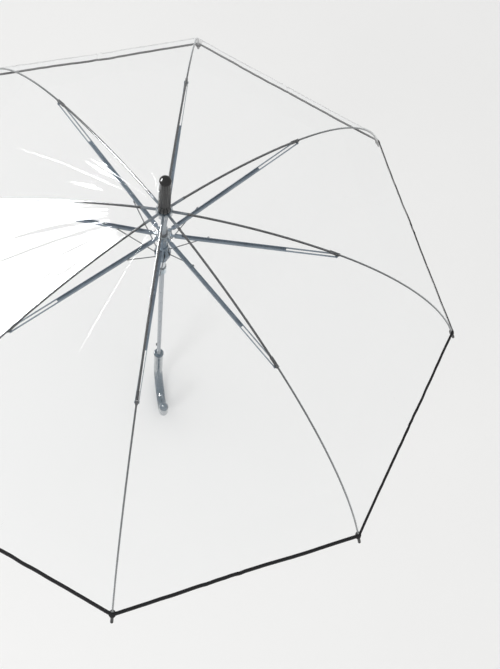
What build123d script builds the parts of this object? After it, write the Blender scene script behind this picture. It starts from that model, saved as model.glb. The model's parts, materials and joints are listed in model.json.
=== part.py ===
from build123d import *
import math
import os

# Stick umbrella with a spring-opened runner, shown open. Millimetres, +Z up along the shaft.
# Origin: on the shaft's axis, level with the lowest point of the hooked handle.

# ---- driving dimensions ----
STATIONS = 8

RIB_LENGTH = 600.0
INNER_LENGTH = 237.0
HUB_SLOPE = 2.6
JOINT_SLOPE = 22.3
TIP_SLOPE = 62.0
RIB_PIVOT_R = 9.0
ROD_R = 1.5
TAIL_R = 1.25

HANDLE_R = 10.0
HOOK_R = 50.0
HANDLE_STRAIGHT = 120.0
HOOK_RISE = 42.0
HOOK_AZIMUTH = 150.0
COLLAR_DROP = 652.0
COLLAR_HEIGHT = 8.0
HUB_Z = COLLAR_DROP + HANDLE_STRAIGHT + HOOK_R + HANDLE_R

SHAFT_R = 4.0
SHAFT_BORE = 3.4
SHAFT_IN_HANDLE = 110.0
SHAFT_IN_FERRULE = 36.0
RUN_FIT = 0.08
SLOT_AZIMUTH = -38.0
CATCH_AZIMUTH = 51.0

FERRULE_TOP = 78.0
FERRULE_BASE = 4.0
FERRULE_R = 7.5
FERRULE_FLARE_R = 8.8
FLUTES = 18
FLARE_TALL = 6.0
DOME_TALL = 5.5
TIP_BAND = 9.0

NOTCH_R = 11.0
FILM_GAP = 2.2
FILM_THICK = 0.2
FILM_LENGTH = 589.0

# stretcher, from its pin in the runner's crown to its rivet under the rib
CROWN_Z = -70.0
CROWN_PIVOT_R = 10.5
CROWN_R = 12.4
RIVET_BELOW = 4.0
FORK_HALF = 2.0
WALL = 0.7
CHANNEL_HALF = 1.8
FORK_LENGTH = 70.0
ANCHOR_AT = 51.0

# short jump wires, from the sliding ring up to the stretchers
JUMP_Z = -124.0
JUMP_PIVOT_X = 8.4
WIRE_PLANE = 3.9
WIRE_R = 0.7
BELL_R = 12.0
BELL_NECK_R = 7.4

RUNNER_SLEEVE_R = 6.2
RUNNER_BOTTOM = -147.0
BUSH_BOTTOM = -174.0
RING_BOTTOM = -180.0
CAP_BOTTOM = -198.0
RUNNER_TRAVEL = 396.0
SPRING_TURNS = 44
SPRING_COIL_R = 2.55
SPRING_WIRE_R = 0.45
SPRING_BOTTOM = -566.0
SEAT_Z = -86.0
CATCH_Z = -584.0


# ---- small helpers ----
def save(name, shape):
    export_step(shape, f"parts/{name}.step")


def azimuth(station):
    return -360.0 / STATIONS * station


def at_station(shape, station):
    """Turns a shape from the first station's plane (XZ) to the given one."""
    return Rot(0, 0, azimuth(station)) * shape


def around(shape):
    """Copies of a shape at every station, as a list."""
    return [at_station(shape, station) for station in range(STATIONS)]


def tube(outer, inner, bottom, top):
    """An upright tube, heights from the hub."""
    ring = Pos(0, 0, HUB_Z + bottom) * Cylinder(outer, top - bottom, align=ON_BOTTOM)
    return ring - Pos(0, 0, HUB_Z + bottom) * Cylinder(inner, top - bottom, align=ON_BOTTOM)


def cross_pin(x, y_low, y_high, z, radius):
    """A pin along Y, height from the hub."""
    middle = (y_low + y_high) / 2
    return Pos(x, middle, HUB_Z + z) * Rot(90, 0, 0) * Cylinder(radius, y_high - y_low)


ON_BOTTOM = (Align.CENTER, Align.CENTER, Align.MIN)
ON_TOP = (Align.CENTER, Align.CENTER, Align.MAX)
FROM_END = (Align.MIN, Align.CENTER, Align.CENTER)


# ---- the rib's curve: two tangent arcs in the station's plane ----
INNER_BEND = math.radians(JOINT_SLOPE - HUB_SLOPE)
OUTER_BEND = math.radians(TIP_SLOPE - JOINT_SLOPE)
INNER_ARC_R = INNER_LENGTH / INNER_BEND
OUTER_ARC_R = (RIB_LENGTH - INNER_LENGTH) / OUTER_BEND


def arc_centre(point, radius, slope):
    return (point[0] - radius * math.sin(slope), point[1] - radius * math.cos(slope))


def on_arc(centre, radius, slope):
    return (centre[0] + radius * math.sin(slope), centre[1] + radius * math.cos(slope))


HUB_POINT = (RIB_PIVOT_R, 0.0)
INNER_CENTRE = arc_centre(HUB_POINT, INNER_ARC_R, math.radians(HUB_SLOPE))
JOINT_POINT = on_arc(INNER_CENTRE, INNER_ARC_R, math.radians(JOINT_SLOPE))
OUTER_CENTRE = arc_centre(JOINT_POINT, OUTER_ARC_R, math.radians(JOINT_SLOPE))


def rib_slope(length):
    """Slope below level, in radians, at a length along the rib."""
    if length < INNER_LENGTH:
        return math.radians(HUB_SLOPE) + length / INNER_ARC_R
    return math.radians(JOINT_SLOPE) + (length - INNER_LENGTH) / OUTER_ARC_R


def rib_point(length, above=0.0):
    """A point of the rib's curve (x, height from the hub), or one that far above it."""
    slope = rib_slope(length)
    if length < INNER_LENGTH:
        return on_arc(INNER_CENTRE, INNER_ARC_R + above, slope)
    return on_arc(OUTER_CENTRE, OUTER_ARC_R + above, slope)


def space(point):
    return Vector(point[0], 0, HUB_Z + point[1])


def rod(start, end, radius):
    """A round rod along one arc of the rib's curve."""
    ends = [rib_point(start), rib_point((start + end) / 2), rib_point(end)]
    path = ThreePointArc(*[space(p) for p in ends])
    return sweep(Plane(origin=path @ 0, z_dir=path % 0) * Circle(radius), path=path)


def along_rib(shape, length):
    """Puts a shape made along X at the origin onto the rib's curve."""
    return Pos(space(rib_point(length))) * Rot(0, math.degrees(rib_slope(length)), 0) * shape


# ---- ribs, tails and tips ----
EYE_R = 2.0
EYE_HALF = 1.3
EYE_HOLE = 0.9
SOCKET_START = 5.2
SOCKET_END = 24.0
SOCKET_HALF = 1.6
CHEEK_BACK = 13.0
CHEEK_FRONT = 4.0
CHEEK_INNER = 1.38
CHEEK_OUTER = 1.8
CHEEK_TOP = 1.5
TAIL_START_GAP = 0.4
RIVET_POINT = (JOINT_POINT[0], JOINT_POINT[1] - RIVET_BELOW)


def rib_eye():
    """Flat eye on the notch's wire, and the socket that the rod is crimped into."""
    eye = cross_pin(RIB_PIVOT_R, -EYE_HALF, EYE_HALF, 0, EYE_R)
    neck = Box(SOCKET_START + 2, 2 * EYE_HALF, 2 * EYE_R - 1, align=FROM_END)
    socket = Box(SOCKET_END - SOCKET_START, 2 * SOCKET_HALF, 2 * SOCKET_HALF, align=FROM_END)
    socket = chamfer(socket.edges().filter_by(Axis.X), 0.6)
    hole = cross_pin(RIB_PIVOT_R, -2 * EYE_HALF, 2 * EYE_HALF, 0, EYE_HOLE)
    return eye + along_rib(neck, 0) + along_rib(Pos(SOCKET_START, 0, 0) * socket, 0) - hole


def joint_cheeks():
    """Two flat cheeks that grip the rod's end and hang below it to carry the stretcher's rivet."""
    reach = CHEEK_BACK + CHEEK_FRONT
    thick = CHEEK_OUTER - CHEEK_INNER
    plate = Box(reach, thick, CHEEK_TOP + 1.9, align=(Align.MIN, Align.CENTER, Align.MAX))
    plate = Pos(-CHEEK_BACK, 0, CHEEK_TOP) * plate
    flag = cross_pin(0, -thick / 2, thick / 2, -RIVET_BELOW - HUB_Z, 2.1)
    flag += Pos(-0.4, 0, -RIVET_BELOW / 2) * Box(3.4, thick, RIVET_BELOW)
    cheek = along_rib(plate, INNER_LENGTH) + Pos(space(JOINT_POINT)) * flag
    offset = (CHEEK_INNER + CHEEK_OUTER) / 2
    rivet = cross_pin(RIVET_POINT[0], -CHEEK_OUTER, CHEEK_OUTER, RIVET_POINT[1], 1.0)
    return Pos(0, offset, 0) * cheek + Pos(0, -offset, 0) * cheek + rivet


def rib():
    """Inner part of a rib, from the notch to the stretcher's joint."""
    bar = rod(SOCKET_START + 1, INNER_LENGTH - TAIL_R - TAIL_START_GAP, ROD_R)
    return rib_eye() + bar + joint_cheeks()


def tail():
    """Thin outer part of a rib, with a ball end between the cheeks."""
    return Pos(space(JOINT_POINT)) * Sphere(TAIL_R) + rod(INNER_LENGTH, RIB_LENGTH, TAIL_R)


TIP_GRIP = 5.0
TIP_LENGTH = 28.0
TIP_R = 2.4
TIP_FIT = 0.1
KNOB_R = 3.6
KNOB_THICK = 3.0


def tip():
    """Moulded cap on a tail's end, with the knob that the film's corner is tied to."""
    cap = Rot(0, 90, 0) * Cylinder(TIP_R, TIP_LENGTH, align=ON_BOTTOM)
    cap = fillet(cap.edges().group_by(Axis.X)[-1], 1.6)
    knob = Rot(0, 90, 0) * Cylinder(KNOB_R, KNOB_THICK, align=ON_BOTTOM)
    knob = fillet(knob.edges(), 1.2)
    cap += Pos(TIP_GRIP, 0, 0) * knob
    cap -= Rot(0, 90, 0) * Cylinder(TAIL_R + TIP_FIT, 2 * TIP_GRIP + TIP_FIT, align=ON_BOTTOM)
    return along_rib(Pos(-TIP_GRIP, 0, 0) * cap, RIB_LENGTH - TIP_GRIP)


# ---- stretchers ----
STRETCHER_RUN = RIVET_POINT[0] - CROWN_PIVOT_R
STRETCHER_RISE = RIVET_POINT[1] - CROWN_Z
STRETCHER_LENGTH = math.hypot(STRETCHER_RUN, STRETCHER_RISE)
STRETCHER_SLOPE = math.degrees(math.atan2(STRETCHER_RISE, STRETCHER_RUN))
LUG_HALF = 1.4
LUG_R = 2.0
CHANNEL_START = 5.2
BLOCK_END = 15.0
PIN_R = 0.8
PIN_HOLE = 0.88


def stretcher():
    """Pressed channel, open upwards, forked at its outer end and lugged at its inner end."""
    wall_length = STRETCHER_LENGTH - CHANNEL_START
    wall = Box(wall_length, WALL, 2 * CHANNEL_HALF, align=FROM_END)
    wall = Pos(CHANNEL_START, 0, 0) * wall
    wall += Pos(STRETCHER_LENGTH, 0, 0) * Rot(90, 0, 0) * Cylinder(CHANNEL_HALF, WALL)
    wall_at = FORK_HALF + WALL / 2
    web_length = STRETCHER_LENGTH - FORK_LENGTH - CHANNEL_START
    web = Box(web_length, 2 * FORK_HALF + WALL, WALL, align=FROM_END)
    web = Pos(CHANNEL_START, 0, -CHANNEL_HALF + WALL / 2) * web
    block = Box(BLOCK_END - CHANNEL_START, 2 * FORK_HALF + WALL, 2.6, align=FROM_END)
    block = Pos(CHANNEL_START, 0, -CHANNEL_HALF + 1.3) * block
    lug = Rot(90, 0, 0) * Cylinder(LUG_R, 2 * LUG_HALF)
    lug += Box(CHANNEL_START + 1, 2 * LUG_HALF, 3.0, align=FROM_END)
    lug -= Rot(90, 0, 0) * Cylinder(PIN_HOLE, 4 * LUG_HALF)
    head = Pos(STRETCHER_LENGTH, 0, 0) * Rot(90, 0, 0) * Cylinder(1.5, 0.5)
    head_at = FORK_HALF + WALL + 0.25
    bar = web + block + lug
    for side in (-1, 1):
        bar += Pos(0, side * wall_at, 0) * wall
        bar += Pos(0, side * head_at, 0) * head
    return Pos(CROWN_PIVOT_R, 0, HUB_Z + CROWN_Z) * Rot(0, -STRETCHER_SLOPE, 0) * bar


# ---- jump wires ----
def stretcher_point(distance):
    slope = math.radians(STRETCHER_SLOPE)
    return (CROWN_PIVOT_R + distance * math.cos(slope), CROWN_Z + distance * math.sin(slope))


JUMP_PIVOT = (JUMP_PIVOT_X, JUMP_Z)
WIRE_ANCHOR = stretcher_point(ANCHOR_AT)
WIRE_EYE_R = 1.5
WIRE_EYE_HALF = 0.65


def jump_wire():
    """Short wire beside a stretcher, with an eye at each end."""
    run = WIRE_ANCHOR[0] - JUMP_PIVOT[0]
    rise = WIRE_ANCHOR[1] - JUMP_PIVOT[1]
    length = math.hypot(run, rise)
    wire = Rot(0, 90, 0) * Cylinder(WIRE_R, length - 1.8, align=ON_BOTTOM)
    wire = Pos(0.9, 0, 0) * wire
    for end in (0, length):
        wire += Pos(end, 0, 0) * Rot(90, 0, 0) * Cylinder(WIRE_EYE_R, 2 * WIRE_EYE_HALF)
    wire -= Rot(90, 0, 0) * Cylinder(PIN_HOLE, 4)
    slope = math.degrees(math.atan2(rise, run))
    return Pos(JUMP_PIVOT[0], WIRE_PLANE, HUB_Z + JUMP_PIVOT[1]) * Rot(0, -slope, 0) * wire


# ---- hub: notch and its wire, washer, ferrule ----
def notch_wire():
    return Pos(0, 0, HUB_Z) * Torus(RIB_PIVOT_R, 0.6)


def top_notch():
    """Slotted collar pressed on the shaft, with a slot for each rib's eye."""
    body = tube(NOTCH_R, SHAFT_R, -6.5, 1.9)
    body += tube(6.2, SHAFT_R, -14, -6.5)
    slot = Pos(6.7, 0, HUB_Z) * Box(10, 3.8, 40, align=FROM_END)
    for cut in around(slot):
        body -= cut
    return body - notch_wire()


def canopy_washer():
    return tube(9.6, SHAFT_R, FILM_GAP + FILM_THICK + 0.15, FERRULE_BASE)


def ferrule():
    """Fluted cap on the shaft's top, domed above and flared at its base."""
    base, top = HUB_Z + FERRULE_BASE, HUB_Z + FERRULE_TOP
    low, neck = base + FLARE_TALL, base + 2 * FLARE_TALL
    brow = top - DOME_TALL
    body = Pos(0, 0, base) * Cylinder(FERRULE_FLARE_R, FLARE_TALL, align=ON_BOTTOM)
    body = fillet(body.edges().group_by(Axis.Z)[0], 1.2)
    body += Pos(0, 0, low) * Cone(FERRULE_FLARE_R, FERRULE_R + 0.3, neck - low, align=ON_BOTTOM)
    band = brow - TIP_BAND
    body += Pos(0, 0, neck) * Cone(FERRULE_R + 0.3, FERRULE_R, band - neck, align=ON_BOTTOM)
    body += Pos(0, 0, band) * Cylinder(FERRULE_R, TIP_BAND, align=ON_BOTTOM)
    crown = Pos(0, 0, brow) * Cylinder(FERRULE_R, DOME_TALL, align=ON_BOTTOM)
    body += fillet(crown.edges().group_by(Axis.Z)[-1], DOME_TALL - 0.4)
    flute = Pos(FERRULE_R + 0.85, 0, neck + 1) * Cylinder(1.1, band - neck - 1, align=ON_BOTTOM)
    for turn in range(FLUTES):
        body -= Rot(0, 0, 360 / FLUTES * turn) * flute
    bore_top = HUB_Z + SHAFT_IN_FERRULE
    return body - Pos(0, 0, bore_top) * Cylinder(SHAFT_R, 60, align=ON_TOP)


# ---- canopy ----
PROFILE_STEPS = 12
HALF_ANGLE = math.radians(180.0 / STATIONS)


def dome(above, rim):
    """Solid octagonal dome whose corners follow the rib's curve, that far above it."""
    flat = math.cos(HALF_ANGLE)
    lengths = [rim * step / PROFILE_STEPS for step in range(PROFILE_STEPS + 1)]
    side = [rib_point(length, above) for length in lengths]
    right = [(x * flat, 0, z) for x, z in side]
    left = [(-x, 0, z) for x, _, z in reversed(right)]
    outline = Spline(*left) + Line(left[-1], right[0]) + Spline(*right)
    outline += Line(right[-1], left[0])
    prism = extrude(make_face(outline), RIB_LENGTH, dir=(0, 1, 0), both=True)
    # flats face halfway between the stations
    solid = Rot(0, 0, math.degrees(HALF_ANGLE)) * prism
    for quarter in range(1, STATIONS // 2):
        solid &= Rot(0, 0, math.degrees(HALF_ANGLE) * (2 * quarter + 1)) * prism
    return Pos(0, 0, HUB_Z) * solid


def canopy():
    """Clear film over the ribs, open below, with a hole for the shaft."""
    inner_rim = rib_point(FILM_LENGTH, FILM_GAP)[1]
    film = dome(FILM_GAP + FILM_THICK, FILM_LENGTH) - dome(FILM_GAP, FILM_LENGTH)
    below = Pos(0, 0, HUB_Z + inner_rim + 0.3) * Box(3000, 3000, 400, align=ON_TOP)
    shaft_hole = Pos(0, 0, HUB_Z) * Cylinder(SHAFT_R + 0.2, 40)
    return film - below - shaft_hole


# ---- shaft, stop and spring ----
SLOT_WIDTH = 2.2
CATCH_HALF = 1.2
CATCH_TALL = 10.0
CATCH_INNER = 2.4
CATCH_OUTER = 6.2


def shaft_tube():
    """Steel tube with a long slot for the spring seat's pin and a short one for the catch."""
    bottom = -COLLAR_DROP - SHAFT_IN_HANDLE
    body = tube(SHAFT_R, SHAFT_BORE, bottom, SHAFT_IN_FERRULE)
    slot_top = SEAT_Z + 2.0
    slot_length = RUNNER_TRAVEL + 4.0
    long_slot = Box(8, SLOT_WIDTH, slot_length, align=(Align.MIN, Align.CENTER, Align.MAX))
    long_slot = Pos(0, 0, HUB_Z + slot_top) * long_slot
    catch_slot = Box(8, 2 * CATCH_HALF + 0.3, CATCH_TALL + 0.4, align=FROM_END)
    catch_slot = Pos(0, 0, HUB_Z + CATCH_Z) * catch_slot
    return body - Rot(0, 0, SLOT_AZIMUTH) * long_slot - Rot(0, 0, CATCH_AZIMUTH) * catch_slot


def upper_stop():
    """Collar crimped on the shaft, which the spring holds the runner up against."""
    return tube(6.0, SHAFT_R, CROWN_Z + 2.5, CROWN_Z + 7)


def opening_spring():
    """Compression coil inside the tube, from its plug up to the runner's seat."""
    bottom = HUB_Z + SPRING_BOTTOM + SPRING_WIRE_R
    height = SEAT_Z - 2.1 - SPRING_WIRE_R - SPRING_BOTTOM - SPRING_WIRE_R
    coil = Helix(pitch=height / SPRING_TURNS, height=height, radius=SPRING_COIL_R)
    section = Plane(origin=coil @ 0, z_dir=coil % 0) * Circle(SPRING_WIRE_R)
    return Pos(0, 0, bottom) * sweep(section, path=coil, is_frenet=True)


def spring_plug():
    return Pos(0, 0, HUB_Z + SPRING_BOTTOM) * Cylinder(SHAFT_BORE, 5, align=ON_TOP)


def spring_seat():
    """Disc that the spring pushes on, with a pin through the tube's slot into the runner's sleeve."""
    disc = Pos(0, 0, HUB_Z + SEAT_Z) * Cylinder(3.3, 4)
    pin = Pos(0, 0, HUB_Z + SEAT_Z) * Rot(0, 90, 0) * Cylinder(0.9, RUNNER_SLEEVE_R - 0.1, align=ON_BOTTOM)
    return disc + Rot(0, 0, SLOT_AZIMUTH) * pin


# ---- runner and sliding jump ring ----
def runner_pins():
    pin = cross_pin(CROWN_PIVOT_R, -2.9, 2.75, CROWN_Z, PIN_R)
    return Compound(around(pin))


def runner():
    """Crown with a slot for each stretcher, a notch beside it for its jump wire, and a sleeve."""
    bore = SHAFT_R + RUN_FIT
    body = tube(CROWN_R, bore, CROWN_Z - 4, CROWN_Z + 2.2)
    body += tube(RUNNER_SLEEVE_R, bore, RUNNER_BOTTOM, CROWN_Z - 4)
    body += tube(8.2, bore, RUNNER_BOTTOM, RUNNER_BOTTOM + 8)
    slot = Pos(8.1, 0, HUB_Z + CROWN_Z) * Box(10, 3.4, 20, align=FROM_END)
    wire_notch = Pos(8.5, WIRE_PLANE, HUB_Z + CROWN_Z) * Box(10, 2.2, 20, align=FROM_END)
    for cut in around(slot) + around(wire_notch):
        body -= cut
    for cut in runner_pins().solids():
        body -= cut
    return body - spring_seat()


def runner_bush():
    return tube(5.4, SHAFT_R + RUN_FIT, BUSH_BOTTOM, RUNNER_BOTTOM)


def runner_ring():
    return tube(6.2, SHAFT_R + RUN_FIT, RING_BOTTOM, BUSH_BOTTOM)


def runner_cap():
    """Clear end of the runner, with a notch that the catch's nose enters when closed."""
    body = tube(6.6, SHAFT_R + RUN_FIT, CAP_BOTTOM, RING_BOTTOM)
    notch = Pos(0, 0, HUB_Z + CAP_BOTTOM) * Box(10, 2 * CATCH_HALF + 0.6, 32, align=FROM_END)
    return body - Rot(0, 0, CATCH_AZIMUTH) * notch


def jump_pins():
    pin = cross_pin(JUMP_PIVOT_X, WIRE_PLANE - 1.9, WIRE_PLANE + 1.9, JUMP_Z, PIN_R)
    return Compound(around(pin))


def jump_ring():
    """Bell that slides on the runner's sleeve, with a notch for each jump wire's eye."""
    bore = RUNNER_SLEEVE_R + RUN_FIT
    low, wide, high = HUB_Z + JUMP_Z - 10, HUB_Z + JUMP_Z, HUB_Z + JUMP_Z + 21
    lower = [(bore, 0, low), (BELL_R - 0.8, 0, low), (BELL_R, 0, low + 2)]
    upper = [(BELL_R, 0, wide), (10.2, 0, wide + 6), (8.6, 0, wide + 13)]
    upper += [(BELL_NECK_R, 0, high), (bore, 0, high)]
    outline = Polyline(*lower, *upper, lower[0])
    body = revolve(make_face(outline), Axis.Z)
    notch = Box(10, 1.9, 40, align=(Align.MIN, Align.CENTER, Align.MIN))
    notch = Pos(6.6, WIRE_PLANE, HUB_Z + JUMP_Z - 2) * notch
    for cut in around(notch) + jump_pins().solids():
        body -= cut
    return body


# ---- handle, collar and catch ----
def handle():
    """Round hooked handle with a ball end, bored for the shaft."""
    top = HUB_Z - COLLAR_DROP
    bend = top - HANDLE_STRAIGHT
    far = 2 * HOOK_R
    path = Line((0, 0, top), (0, 0, bend))
    path += ThreePointArc((0, 0, bend), (HOOK_R, 0, bend - HOOK_R), (far, 0, bend))
    path += Line((far, 0, bend), (far, 0, bend + HOOK_RISE))
    body = sweep(Plane(origin=(0, 0, top), z_dir=(0, 0, -1)) * Circle(HANDLE_R), path=path)
    body += Pos(far, 0, bend + HOOK_RISE) * Sphere(HANDLE_R)
    body -= Pos(0, 0, top) * Cylinder(SHAFT_R, SHAFT_IN_HANDLE, align=ON_TOP)
    return Rot(0, 0, HOOK_AZIMUTH) * body


def handle_collar():
    body = tube(HANDLE_R + 0.5, SHAFT_R, -COLLAR_DROP, -COLLAR_DROP + COLLAR_HEIGHT)
    return fillet(body.edges().group_by(Axis.Z)[-1].sort_by(SortBy.LENGTH)[-1:], 2.0)


def release_catch():
    """Sprung catch that stands out of the shaft's short slot and is pressed in to let the runner go."""
    block = Box(CATCH_OUTER - CATCH_INNER, 2 * CATCH_HALF, CATCH_TALL, align=FROM_END)
    block = chamfer(block.edges().group_by(Axis.X)[-1].filter_by(Axis.Y), 1.2)
    return Rot(0, 0, CATCH_AZIMUTH) * Pos(CATCH_INNER, 0, HUB_Z + CATCH_Z) * block


# ---- write every node ----
os.makedirs("parts", exist_ok=True)
single = {
    "shaft_tube": shaft_tube(),
    "ferrule": ferrule(),
    "canopy_washer": canopy_washer(),
    "top_notch": top_notch(),
    "notch_wire": notch_wire(),
    "upper_stop": upper_stop(),
    "opening_spring": opening_spring(),
    "spring_plug": spring_plug(),
    "spring_seat": spring_seat(),
    "runner": runner(),
    "runner_pins": runner_pins(),
    "runner_bush": runner_bush(),
    "runner_ring": runner_ring(),
    "runner_cap": runner_cap(),
    "jump_ring": jump_ring(),
    "jump_pins": jump_pins(),
    "handle": handle(),
    "handle_collar": handle_collar(),
    "release_catch": release_catch(),
    "canopy": canopy(),
}
for name, shape in single.items():
    save(name, shape)

repeated = {
    "rib": rib(),
    "tail": tail(),
    "tip": tip(),
    "stretcher": stretcher(),
    "jump_wire": jump_wire(),
}
for name, shape in repeated.items():
    for station in range(STATIONS):
        save(f"{name}_{station + 1}", at_station(shape, station))

print("hub height", HUB_Z, "joint", JOINT_POINT, "rivet", RIVET_POINT)
print("tip", rib_point(RIB_LENGTH), "wire anchor", WIRE_ANCHOR, "stretcher", STRETCHER_LENGTH)
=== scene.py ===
import json
import math

import bpy
from mathutils import Matrix, Vector, noise


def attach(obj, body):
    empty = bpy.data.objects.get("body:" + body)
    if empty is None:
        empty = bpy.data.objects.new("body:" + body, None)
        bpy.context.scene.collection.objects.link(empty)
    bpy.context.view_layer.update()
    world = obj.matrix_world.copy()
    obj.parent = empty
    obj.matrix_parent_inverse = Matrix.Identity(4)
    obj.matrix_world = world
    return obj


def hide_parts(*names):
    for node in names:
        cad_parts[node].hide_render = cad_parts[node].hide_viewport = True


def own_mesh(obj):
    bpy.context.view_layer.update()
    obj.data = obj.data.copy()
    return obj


# Clear stick umbrella, shown open. Metres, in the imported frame: +Z along the shaft.

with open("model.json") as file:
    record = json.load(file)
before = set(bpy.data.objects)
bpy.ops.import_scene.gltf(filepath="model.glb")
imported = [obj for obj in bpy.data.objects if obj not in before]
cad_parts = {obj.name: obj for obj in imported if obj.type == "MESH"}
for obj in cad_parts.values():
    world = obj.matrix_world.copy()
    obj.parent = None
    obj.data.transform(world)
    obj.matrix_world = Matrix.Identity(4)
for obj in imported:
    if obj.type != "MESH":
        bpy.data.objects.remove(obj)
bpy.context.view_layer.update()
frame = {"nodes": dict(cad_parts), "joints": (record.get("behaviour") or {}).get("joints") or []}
JOINTS = {joint["name"]: joint for joint in frame["joints"]}

# ---- driving dimensions, the same as the frame's ----
STATIONS = 8
INNER_LENGTH = 0.237
RIB_LENGTH = 0.600
HUB_SLOPE = math.radians(2.6)
JOINT_SLOPE = math.radians(22.3)
TIP_SLOPE = math.radians(62.0)
RIB_PIVOT = Vector(JOINTS["rib_1_hinge"]["pos_m"])
HUB_Z = RIB_PIVOT.z
PIVOT_R = RIB_PIVOT.x

FILM_ABOVE = 0.0023
FILM_HEM = 0.5935
SHAFT_HOLE_R = 0.0045
BINDING_WIDTH = 0.0082
BINDING_THICK = 0.0022
CREASE_TALL = 0.0006
CREASE_WIDE = 0.0011
SEAM_WIDTH = 0.0032

# the film's waves: height, waves across a gore and waves per metre along it
BROAD = (0.0018, 3.1, 6.0)
RIPPLE = (0.00050, 24.0, 2.2)
FLUTTER = (0.00045, 9.0, 14.0)
HUB_FAN_AT = 0.11
FAN_LENGTH = 0.09
GORE_SAG = 0.0010

# the view: a camera high over the canopy, on the hook's side
CAMERA_AT = (-0.334, 0.2717, HUB_Z + 0.8219)
CAMERA_FORWARD = (0.1595, -0.2924, -0.9429)
CAMERA_UP = (0.7625, -0.5702, 0.3058)
CAMERA_LENS = 38.3

# a long softbox, mirrored by the gore on the photograph's left
SOFTBOX_AT = (1.225, 0.638, 1.814)
SOFTBOX_FROM = (0.628, 0.345, 0.697)
SOFTBOX_ALONG = (0.126, 0.839, -0.529)
SOFTBOX_SIZE = (1.5, 0.7)
SOFTBOX_POWER = 120.0
KEY_AT = (-0.6, 2.6, 2.8)
KEY_AIM = (0.0, 0.0, 0.3)
KEY_SIZE = 0.9
KEY_POWER = 20
WORLD_WHITE = 0.87
FLOOR_HALF = 6.0


# ---- rib curve ----
INNER_R = INNER_LENGTH / (JOINT_SLOPE - HUB_SLOPE)
OUTER_R = (RIB_LENGTH - INNER_LENGTH) / (TIP_SLOPE - JOINT_SLOPE)


def arc_centre(point, radius, slope):
    return (point[0] - radius * math.sin(slope), point[1] - radius * math.cos(slope))


def on_arc(centre, radius, slope):
    return (centre[0] + radius * math.sin(slope), centre[1] + radius * math.cos(slope))


INNER_CENTRE = arc_centre((PIVOT_R, HUB_Z), INNER_R, HUB_SLOPE)
JOINT_POINT = on_arc(INNER_CENTRE, INNER_R, JOINT_SLOPE)
OUTER_CENTRE = arc_centre(JOINT_POINT, OUTER_R, JOINT_SLOPE)


def rib_slope(length):
    if length < INNER_LENGTH:
        return HUB_SLOPE + length / INNER_R
    return JOINT_SLOPE + (length - INNER_LENGTH) / OUTER_R


def rib_profile(length, above=0.0):
    """(distance from the shaft's axis, height) at a length along the rib."""
    if length < 0:
        return (PIVOT_R + length, HUB_Z + above)
    if length < INNER_LENGTH:
        return on_arc(INNER_CENTRE, INNER_R + above, rib_slope(length))
    return on_arc(OUTER_CENTRE, OUTER_R + above, rib_slope(length))


def azimuth(station):
    return -2 * math.pi / STATIONS * station


def station_point(station, radius, side, height):
    """A point given by distance along and beside a station's radial plane."""
    turn = azimuth(station)
    return Vector((
        radius * math.cos(turn) - side * math.sin(turn),
        radius * math.sin(turn) + side * math.cos(turn),
        height,
    ))


def rib_point(station, length, above=0.0):
    radius, height = rib_profile(length, above)
    return station_point(station, radius, 0.0, height)


def half_gore(station, side, length, share, above=FILM_ABOVE):
    """A film point: share 0 on this station's rib, 1 halfway to the next rib on that side."""
    here = rib_point(station, length, above)
    there = rib_point(station + side, length, above)
    point = here.lerp(there, share / 2)
    return point + gore_normal(station, side, length) * wrinkle(station, side, length, share)


def gore_normal(station, side, length):
    slope = rib_slope(max(length, 0.0))
    middle = azimuth(station) + side * azimuth(1) / 2
    flat = math.sin(slope) / math.hypot(math.sin(slope), math.cos(slope) * math.cos(math.pi / STATIONS))
    return Vector((math.cos(middle) * flat, math.sin(middle) * flat, math.sqrt(1 - flat * flat)))


def half_chord(length):
    """Distance from a rib to the middle of its gore."""
    return max(rib_profile(length)[0], 0.001) * math.sin(math.pi / STATIONS)


def wave(kind, across, length, seed):
    """One layer of the film's waves, different in each gore by its seed."""
    tall, waves_across, waves_along = kind
    return noise.noise(Vector((across * waves_across, length * waves_along, seed))) * tall


def wrinkle(station, side, length, share):
    """Height of the stretched film's waves: long ones across the gore, fans of fine ones at the
    hub and hem, and the fold that packing leaves along the gore's middle."""
    gore = (station if side > 0 else station - 1) % STATIONS
    across = share / 2 if side > 0 else 1 - share / 2
    edge = math.sin(math.pi * across)
    broad = wave(BROAD, across, length, gore * 7.3) * min(1.0, length / 0.16)
    ripple = wave(RIPPLE, across, length, gore * 3.7 + 11)
    flutter = wave(FLUTTER, across, length, gore * 5.1 + 23) * min(1.0, length / 0.2)
    hub_fan = math.exp(-((length - HUB_FAN_AT) / FAN_LENGTH) ** 2)
    hem_fan = math.exp(-((length - FILM_HEM) / FAN_LENGTH) ** 2)
    calm = min(1.0, max(0.0, length) / 0.03)
    near = max(0.0, 1 - (1 - share) * half_chord(length) / CREASE_WIDE)
    packing_fold = CREASE_TALL * near * near * (3 - 2 * near)
    fine = ripple * (0.5 + 0.15 * hub_fan + 1.2 * hem_fan)
    return calm * (edge * (broad - GORE_SAG + flutter + fine) + packing_fold)


# ---- mesh helpers ----
def new_object(name, points, faces, smooth=True):
    mesh = bpy.data.meshes.new(name)
    mesh.from_pydata([tuple(p) for p in points], [], faces)
    mesh.validate()
    mesh.update()
    for polygon in mesh.polygons:
        polygon.use_smooth = smooth
    obj = bpy.data.objects.new(name, mesh)
    bpy.context.scene.collection.objects.link(obj)
    return obj


def grid(name, rows):
    """A sheet from rows of points, all of one length."""
    wide = len(rows[0])
    points = [point for row in rows for point in row]
    faces = []
    for r in range(len(rows) - 1):
        for c in range(wide - 1):
            a = r * wide + c
            faces.append((a, a + 1, a + wide + 1, a + wide))
    return new_object(name, points, faces)


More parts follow.
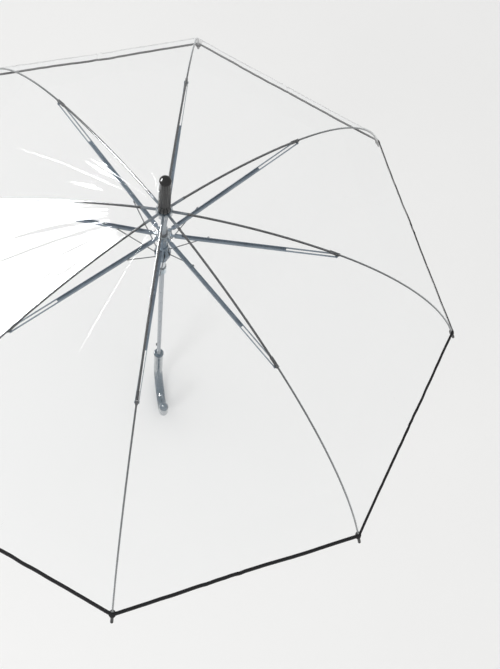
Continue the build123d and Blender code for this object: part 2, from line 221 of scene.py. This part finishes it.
def swept(name, rings, closed_ends=True):
    """A closed skin over rings of points."""
    wide = len(rings[0])
    points = [point for ring in rings for point in ring]
    faces = []
    for r in range(len(rings) - 1):
        for c in range(wide):
            a, b = r * wide + c, r * wide + (c + 1) % wide
            faces.append((a, b, b + wide, a + wide))
    if closed_ends:
        faces.append(tuple(reversed(range(wide))))
        faces.append(tuple((len(rings) - 1) * wide + c for c in range(wide)))
    return new_object(name, points, faces)


def use(obj, material):
    obj.data.materials.clear()
    obj.data.materials.append(material)
    return obj


# ---- materials ----
class Nodes:
    """Short calls for a material's node tree."""

    def __init__(self, name):
        self.material = bpy.data.materials.new(name)
        self.material.use_nodes = True
        self.tree = self.material.node_tree
        self.shader = self.tree.nodes["Principled BSDF"]
        self.output = self.tree.nodes["Material Output"]

    def add(self, kind, **values):
        node = self.tree.nodes.new(kind)
        for key, value in values.items():
            if hasattr(node, key):
                setattr(node, key, value)
            else:
                node.inputs[key].default_value = value
        return node

    def link(self, source, target):
        self.tree.links.new(source, target)

    def place(self):
        return self.add("ShaderNodeTexCoord").outputs["Object"]

    def noise(self, scale, detail=3.0):
        node = self.add("ShaderNodeTexNoise")
        node.inputs["Scale"].default_value = scale
        node.inputs["Detail"].default_value = detail
        self.link(self.place(), node.inputs["Vector"])
        return node.outputs["Fac"]

    def remap(self, source, low, high, to_low, to_high):
        node = self.add("ShaderNodeMapRange")
        for key, value in (("From Min", low), ("From Max", high), ("To Min", to_low), ("To Max", to_high)):
            node.inputs[key].default_value = value
        self.link(source, node.inputs["Value"])
        return node.outputs["Result"]

    def rough_by(self, scale, low, high):
        """Uneven gloss: roughness follows a noise."""
        self.link(self.remap(self.noise(scale), 0.3, 0.7, low, high), self.shader.inputs["Roughness"])

    def mix(self, share, first, second):
        """Colour mix; first and second are colours or sockets."""
        node = self.add("ShaderNodeMix")
        node.data_type = "RGBA"
        self.link(share, node.inputs[0])
        for socket, value in ((node.inputs[6], first), (node.inputs[7], second)):
            if isinstance(value, tuple):
                socket.default_value = (*value, 1.0)
            else:
                self.link(value, socket)
        return node.outputs[2]

    def bump(self, height, strength, distance):
        node = self.add("ShaderNodeBump")
        node.inputs["Strength"].default_value = strength
        node.inputs["Distance"].default_value = distance
        self.link(height, node.inputs["Height"])
        self.link(node.outputs["Normal"], self.shader.inputs["Normal"])
        return node

    def set(self, **values):
        for key, value in values.items():
            socket = self.shader.inputs[key.replace("_", " ")]
            socket.default_value = (*value, 1.0) if isinstance(value, tuple) else value


def moulded(name, colour, dark, rough, grain=900.0, bump=0.12, **extra):
    """Moulded plastic: faint flow mottling, fine grain and uneven gloss."""
    nodes = Nodes(name)
    tone = nodes.remap(nodes.noise(60.0), 0.35, 0.65, 0.0, 1.0)
    nodes.link(nodes.mix(tone, dark, colour), nodes.shader.inputs["Base Color"])
    nodes.rough_by(140.0, rough * 0.75, rough * 1.35)
    nodes.bump(nodes.noise(grain, 2.0), bump, 0.0002)
    nodes.set(**extra)
    return nodes.material


def enamel(name, colour, dark, rough, metallic=0.0):
    """Enamelled steel: slight orange peel and colour that thins along the wire."""
    nodes = Nodes(name)
    tone = nodes.remap(nodes.noise(35.0), 0.3, 0.7, 0.0, 1.0)
    nodes.link(nodes.mix(tone, dark, colour), nodes.shader.inputs["Base Color"])
    nodes.rough_by(220.0, rough * 0.8, rough * 1.3)
    nodes.bump(nodes.noise(1400.0, 2.0), 0.15, 0.0001)
    nodes.set(Metallic=metallic)
    return nodes.material


def from_axis(nodes):
    """Distance from the shaft's axis, as a socket."""
    split = nodes.add("ShaderNodeSeparateXYZ")
    nodes.link(nodes.place(), split.inputs[0])
    flat = nodes.add("ShaderNodeCombineXYZ")
    nodes.link(split.outputs["X"], flat.inputs["X"])
    nodes.link(split.outputs["Y"], flat.inputs["Y"])
    length = nodes.add("ShaderNodeVectorMath", operation="LENGTH")
    nodes.link(flat.outputs[0], length.inputs[0])
    return length.outputs["Value"]


def rib_material():
    """Black enamelled rod; its crimped socket beside the notch is smoky grey."""
    nodes = Nodes("rib_enamel")
    away = from_axis(nodes)
    tone = nodes.remap(nodes.noise(40.0), 0.3, 0.7, 0.0, 1.0)
    black = nodes.mix(tone, (0.006, 0.0065, 0.008), (0.018, 0.019, 0.022))
    grey = nodes.mix(tone, (0.10, 0.12, 0.14), (0.16, 0.19, 0.22))
    past_socket = nodes.remap(away, 0.0295, 0.0305, 0.0, 1.0)
    nodes.link(nodes.mix(past_socket, grey, black), nodes.shader.inputs["Base Color"])
    nodes.rough_by(220.0, 0.26, 0.42)
    nodes.bump(nodes.noise(1400.0, 2.0), 0.15, 0.0001)
    nodes.set(Specular_IOR_Level=0.3)
    return nodes.material


def tail_material():
    """Thin spring rod: dark by the joint, brighter grey towards the tip."""
    nodes = Nodes("tail_steel")
    away = nodes.remap(from_axis(nodes), 0.24, 0.50, 0.0, 1.0)
    shade = nodes.mix(away, (0.035, 0.037, 0.040), (0.22, 0.225, 0.23))
    nodes.link(shade, nodes.shader.inputs["Base Color"])
    nodes.rough_by(240.0, 0.28, 0.44)
    nodes.bump(nodes.noise(1600.0, 2.0), 0.15, 0.0001)
    nodes.set(Metallic=0.45)
    return nodes.material


def see_through(name, tint, gloss_rough, body, haze, mirror, glancing):
    """Thin clear film: passes light straight on, mirrors more at a glancing angle, with some haze."""
    nodes = Nodes(name)
    crease = nodes.bump(nodes.noise(18.0, 4.0), 0.35, 0.0012)
    weight = nodes.add("ShaderNodeLayerWeight")
    weight.inputs["Blend"].default_value = 0.5
    nodes.link(crease.outputs["Normal"], weight.inputs["Normal"])
    glance = nodes.add("ShaderNodeMath", operation="POWER")
    nodes.link(weight.outputs["Facing"], glance.inputs[0])
    glance.inputs[1].default_value = 5.0
    milk = nodes.remap(nodes.noise(9.0, 5.0), 0.35, 0.75, mirror + haze * 0.5, mirror + haze * 1.5)
    share = nodes.add("ShaderNodeMath", operation="MULTIPLY_ADD")
    nodes.link(glance.outputs[0], share.inputs[0])
    share.inputs[1].default_value = glancing
    nodes.link(milk, share.inputs[2])
    nodes.set(Base_Color=body, Metallic=1.0, Roughness=gloss_rough)
    clear = nodes.add("ShaderNodeBsdfTransparent")
    clear.inputs["Color"].default_value = (*tint, 1.0)
    blend = nodes.add("ShaderNodeMixShader")
    nodes.link(share.outputs[0], blend.inputs[0])
    nodes.link(clear.outputs[0], blend.inputs[1])
    nodes.link(nodes.shader.outputs[0], blend.inputs[2])
    nodes.link(blend.outputs[0], nodes.output.inputs["Surface"])
    return nodes.material


def smoky(name, tint, share_clear, rough, coat_rough=0.06, coat=0.9):
    """Smoky translucent plastic that shows dimly what is inside it."""
    nodes = Nodes(name)
    tone = nodes.remap(nodes.noise(45.0), 0.3, 0.7, 0.0, 1.0)
    darker = tuple(c * 0.82 for c in tint)
    nodes.link(nodes.mix(tone, darker, tint), nodes.shader.inputs["Base Color"])
    nodes.rough_by(160.0, rough * 0.8, rough * 1.3)
    nodes.bump(nodes.noise(700.0, 2.0), 0.08, 0.0002)
    nodes.set(Alpha=1.0 - share_clear, IOR=1.49, Coat_Weight=coat, Coat_Roughness=coat_rough)
    return nodes.material


def runner_material():
    """Smoky plastic, nearly clear at the crown and dark down the sleeve."""
    nodes = Nodes("runner_smoke")
    split = nodes.add("ShaderNodeSeparateXYZ")
    nodes.link(nodes.place(), split.inputs[0])
    crown = HUB_Z - 0.072
    depth = nodes.remap(split.outputs["Z"], crown - 0.006, crown, 0.0, 1.0)
    tone = nodes.remap(nodes.noise(45.0), 0.3, 0.7, 0.0, 1.0)
    dark = nodes.mix(tone, (0.06, 0.10, 0.14), (0.085, 0.135, 0.185))
    nodes.link(nodes.mix(depth, dark, (0.40, 0.46, 0.50)), nodes.shader.inputs["Base Color"])
    nodes.link(nodes.remap(depth, 0.0, 1.0, 0.92, 0.5), nodes.shader.inputs["Alpha"])
    nodes.bump(nodes.noise(700.0, 2.0), 0.08, 0.0002)
    nodes.set(Roughness=0.2, IOR=1.49, Specular_IOR_Level=0.35)
    return nodes.material


def woven_tape(name):
    """Black binding tape: fine twill ribs across its length."""
    nodes = Nodes(name)
    wave = nodes.add("ShaderNodeTexWave", wave_type="BANDS")
    wave.inputs["Scale"].default_value = 900.0
    wave.inputs["Distortion"].default_value = 0.6
    nodes.link(nodes.place(), wave.inputs["Vector"])
    shade = nodes.mix(wave.outputs["Fac"], (0.007, 0.007, 0.008), (0.020, 0.020, 0.022))
    nodes.link(shade, nodes.shader.inputs["Base Color"])
    nodes.bump(wave.outputs["Fac"], 0.3, 0.0002)
    nodes.set(Roughness=0.7, Specular_IOR_Level=0.12)
    return nodes.material


FILM = see_through("clear_film", (0.988, 0.992, 0.994), 0.06, (0.97, 0.98, 0.99), 0.003, 0.028, 0.55)
SEAM = see_through("film_seam", (0.95, 0.96, 0.965), 0.18, (0.95, 0.97, 0.98), 0.03, 0.05, 0.6)
CLEAR_PLASTIC = see_through("clear_plastic", (0.80, 0.85, 0.88), 0.10, (0.9, 0.94, 0.97), 0.06, 0.10, 0.8)
BINDING = woven_tape("binding_tape")
RIB = rib_material()
TAIL = tail_material()
BLACK = moulded("black_plastic", (0.012, 0.012, 0.014), (0.006, 0.006, 0.007), 0.3, Specular_IOR_Level=0.25)
GLOSS_BLACK = moulded(
    "ferrule_black", (0.012, 0.012, 0.012), (0.006, 0.006, 0.006), 0.12, bump=0.05, Specular_IOR_Level=0.35
)
STRETCHER = enamel("stretcher_enamel", (0.17, 0.215, 0.26), (0.10, 0.135, 0.175), 0.30, 0.25)
WIRE = enamel("jump_wire_steel", (0.16, 0.17, 0.18), (0.08, 0.085, 0.09), 0.34, 0.8)
SHAFT = enamel("shaft_enamel", (0.34, 0.37, 0.40), (0.31, 0.34, 0.37), 0.3, 0.2)
SMOKE = smoky("smoky_blue", (0.085, 0.135, 0.185), 0.05, 0.2, 0.15, 0.3)
HANDLE = smoky("handle_smoke", (0.115, 0.165, 0.21), 0.32, 0.1, 0.03)
RUNNER = runner_material()
NOTCH = smoky("pale_translucent", (0.58, 0.62, 0.65), 0.45, 0.12)
PALE = moulded("milky_plastic", (0.62, 0.65, 0.67), (0.5, 0.54, 0.57), 0.3)
DARK = moulded("dark_smoke", (0.05, 0.065, 0.08), (0.03, 0.04, 0.05), 0.25)

MATERIAL_OF = {
    "rib": RIB,
    "tail": TAIL,
    "tip": BLACK,
    "stretcher": STRETCHER,
    "jump_wire": WIRE,
    "shaft_tube": SHAFT,
    "ferrule": GLOSS_BLACK,
    "canopy_washer": CLEAR_PLASTIC,
    "top_notch": NOTCH,
    "notch_wire": WIRE,
    "upper_stop": WIRE,
    "opening_spring": WIRE,
    "spring_plug": WIRE,
    "spring_seat": WIRE,
    "runner": RUNNER,
    "runner_pins": WIRE,
    "runner_bush": PALE,
    "runner_ring": DARK,
    "runner_cap": CLEAR_PLASTIC,
    "jump_ring": SMOKE,
    "jump_pins": WIRE,
    "handle": HANDLE,
    "handle_collar": HANDLE,
    "release_catch": DARK,
}


def finish_cad_nodes():
    for name, node in frame["nodes"].items():
        kind = name if name in MATERIAL_OF else name.rsplit("_", 1)[0]
        if kind in MATERIAL_OF:
            use(node, MATERIAL_OF[kind])


# ---- the film, in pieces that fold with the ribs ----
INNER_ROWS = 36
OUTER_ROWS = 52
COLUMNS = 26
CREASE_STEPS = 5
SEAM_ROWS = 40
SEAM_START = 0.012
SEAM_STOP = 0.004
TAB_STARTS = 0.0090
TAB_LENGTH = 0.0140
TAB_RINGS = 9
TAB_SIDES = 14
TAB_WIDE = (0.0030, 0.0026)
TAB_TALL = (0.0028, 0.0010)


def rows_between(start, end, count):
    return [start + (end - start) * row / count for row in range(count + 1)]


def shares_across(length):
    """Column positions over a half gore: even, then close together over the fold at its middle."""
    crease = min(0.5, CREASE_WIDE / half_chord(length))
    even = rows_between(0.0, 1 - crease, COLUMNS)
    return even[:-1] + rows_between(1 - crease, 1.0, CREASE_STEPS)


def fold(piece, station, outer):
    body = f"tail_{station + 1}_body" if outer else f"rib_{station + 1}_body"
    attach(piece, body)
    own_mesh(piece)


def film_piece(station, side, outer):
    if outer:
        lengths = rows_between(INNER_LENGTH, FILM_HEM, OUTER_ROWS)
    else:
        lengths = rows_between(SHAFT_HOLE_R - PIVOT_R, INNER_LENGTH, INNER_ROWS)
    rows = []
    for length in lengths:
        row = [half_gore(station, side, length, share) for share in shares_across(length)]
        rows.append(row[::side])
    where = "outer" if outer else "inner"
    hand = "a" if side > 0 else "b"
    piece = use(grid(f"film_{where}_{station + 1}{hand}", rows), FILM)
    return piece


def binding_piece(station, side):
    """Folded tape over the film's hem, from a tip to halfway along the edge."""
    rings = []
    for share in rows_between(0.0, 1.0, COLUMNS):
        low = half_gore(station, side, FILM_HEM + 0.0006, share)
        high = half_gore(station, side, FILM_HEM - BINDING_WIDTH, share)
        normal = gore_normal(station, side, FILM_HEM) * (BINDING_THICK / 2)
        swell = normal * 0.35
        middle = (low + high) / 2
        rings.append([
            high + normal, middle + normal + swell, low + normal * 0.8,
            low - normal * 0.8, middle - normal - swell, high - normal,
        ])
    hand = "a" if side > 0 else "b"
    piece = use(swept(f"binding_{station + 1}{hand}", rings), BINDING)
    return piece


def seam_piece(station, outer):
    """Welded seam of doubled film, on top of the rib."""
    start, end = (INNER_LENGTH, FILM_HEM - SEAM_STOP) if outer else (SEAM_START, INNER_LENGTH)
    rows = []
    for length in rows_between(start, end, SEAM_ROWS):
        here = rib_profile(length, FILM_ABOVE + 0.0004)
        edge = rib_profile(length, FILM_ABOVE + 0.0002 - SEAM_WIDTH / 2 * math.tan(math.pi / STATIONS))
        rows.append([
            station_point(station, edge[0], -SEAM_WIDTH / 2, edge[1]),
            station_point(station, here[0], 0.0, here[1]),
            station_point(station, edge[0], SEAM_WIDTH / 2, edge[1]),
        ])
    where = "outer" if outer else "inner"
    piece = use(grid(f"seam_{where}_{station + 1}", rows), SEAM)
    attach(piece, f"tail_{station + 1}_body" if outer else f"rib_{station + 1}_body")
    return piece


def corner_tab(station):
    """Black tab that ties the film's corner to the knob of a tip."""
    rings = []
    for step in range(TAB_RINGS):
        along = step / (TAB_RINGS - 1)
        length = FILM_HEM - TAB_STARTS + TAB_LENGTH * along
        swell = math.sin(math.pi * (0.12 + 0.76 * along))
        radius, height = rib_profile(length)
        slope = rib_slope(length)
        ring = []
        for k in range(TAB_SIDES):
            angle = 2 * math.pi * k / TAB_SIDES
            beside = math.cos(angle) * (TAB_WIDE[0] + TAB_WIDE[1] * swell)
            above = math.sin(angle) * (TAB_TALL[0] + TAB_TALL[1] * swell)
            ring.append(station_point(
                station, radius + above * math.sin(slope), beside, height + above * math.cos(slope)
            ))
        rings.append(ring)
    piece = use(swept(f"corner_tab_{station + 1}", rings), BINDING)
    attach(piece, f"tail_{station + 1}_body")
    return piece


def build_canopy():
    first = None
    for station in range(STATIONS):
        for side in (1, -1):
            inner = film_piece(station, side, False)
            outer = film_piece(station, side, True)
            binding = binding_piece(station, side)
            fold(inner, station, False)
            fold(outer, station, True)
            fold(binding, station, True)
            first = first or inner
        seam_piece(station, False)
        seam_piece(station, True)
        corner_tab(station)
    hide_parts("canopy")


# ---- the spring inside the shaft ----
SPRING_TURNS = 44
SPRING_COIL_R = 0.00255
SPRING_WIRE_R = 0.00045
SPRING_BOTTOM = HUB_Z - 0.5655
SPRING_LENGTH = 0.477
STEPS_PER_TURN = 20
WIRE_SIDES = 6


def build_spring():
    """Long coil that the runner's seat presses down as the umbrella closes."""
    up = Vector((0, 0, 1))
    rings = []
    for step in range(SPRING_TURNS * STEPS_PER_TURN + 1):
        turn = 2 * math.pi * step / STEPS_PER_TURN
        outward = Vector((math.cos(turn), math.sin(turn), 0.0))
        height = SPRING_BOTTOM + SPRING_LENGTH * step / (SPRING_TURNS * STEPS_PER_TURN)
        centre = outward * SPRING_COIL_R + up * height
        rings.append([
            centre + (outward * math.cos(angle) + up * math.sin(angle)) * SPRING_WIRE_R
            for angle in (2 * math.pi * k / WIRE_SIDES for k in range(WIRE_SIDES))
        ])
    spring = use(swept("spring_coil", rings), WIRE)
    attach(spring, "shaft")
    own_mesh(spring)
    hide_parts("opening_spring")


# ---- stage, light and camera ----
def build_stage():
    corners = [(x * FLOOR_HALF, y * FLOOR_HALF, 0) for x, y in ((-1, -1), (1, -1), (1, 1), (-1, 1))]
    floor = new_object("floor", corners, [(0, 1, 2, 3)])
    nodes = Nodes("pale_floor")
    tone = nodes.noise(2.0)
    nodes.link(nodes.mix(tone, (0.88, 0.88, 0.875), (0.90, 0.90, 0.895)), nodes.shader.inputs["Base Color"])
    nodes.set(Roughness=0.9)
    use(floor, nodes.material)


def build_lights():
    world = bpy.data.worlds.new("studio")
    world.use_nodes = True
    background = world.node_tree.nodes["Background"]
    background.inputs["Color"].default_value = (1.0, 0.998, 0.994, 1)
    background.inputs["Strength"].default_value = WORLD_WHITE
    bpy.context.scene.world = world
    data = bpy.data.lights.new("softbox", "AREA")
    data.shape = "RECTANGLE"
    data.size = SOFTBOX_SIZE[0]
    data.size_y = SOFTBOX_SIZE[1]
    data.energy = SOFTBOX_POWER
    light = bpy.data.objects.new("softbox", data)
    bpy.context.scene.collection.objects.link(light)
    place_turned(light, SOFTBOX_AT, -Vector(SOFTBOX_FROM), SOFTBOX_ALONG)
    light.visible_diffuse = False
    data = bpy.data.lights.new("key", "AREA")
    data.size = KEY_SIZE
    data.energy = KEY_POWER
    key = bpy.data.objects.new("key", data)
    bpy.context.scene.collection.objects.link(key)
    place_turned(key, KEY_AT, Vector(KEY_AIM) - Vector(KEY_AT), (1, 0, 0))
    key.visible_glossy = False


def place_turned(obj, at, forward, sideways):
    """Stands a camera or light at a point, looking forward, with its own X axis near sideways."""
    forward = Vector(forward).normalized()
    right = (Vector(sideways) - forward * forward.dot(Vector(sideways))).normalized()
    turn = Matrix((right, right.cross(forward), -forward)).transposed()
    obj.matrix_world = Matrix.Translation(at) @ turn.to_4x4()


def build_camera():
    data = bpy.data.cameras.new("camera")
    data.lens = CAMERA_LENS
    data.sensor_width = 36.0
    camera = bpy.data.objects.new("camera", data)
    bpy.context.scene.collection.objects.link(camera)
    place_turned(camera, CAMERA_AT, CAMERA_FORWARD, Vector(CAMERA_FORWARD).cross(Vector(CAMERA_UP)))
    bpy.context.scene.camera = camera


finish_cad_nodes()
build_canopy()
build_spring()
build_stage()
build_lights()
build_camera()
bpy.context.scene.view_settings.view_transform = "Standard"
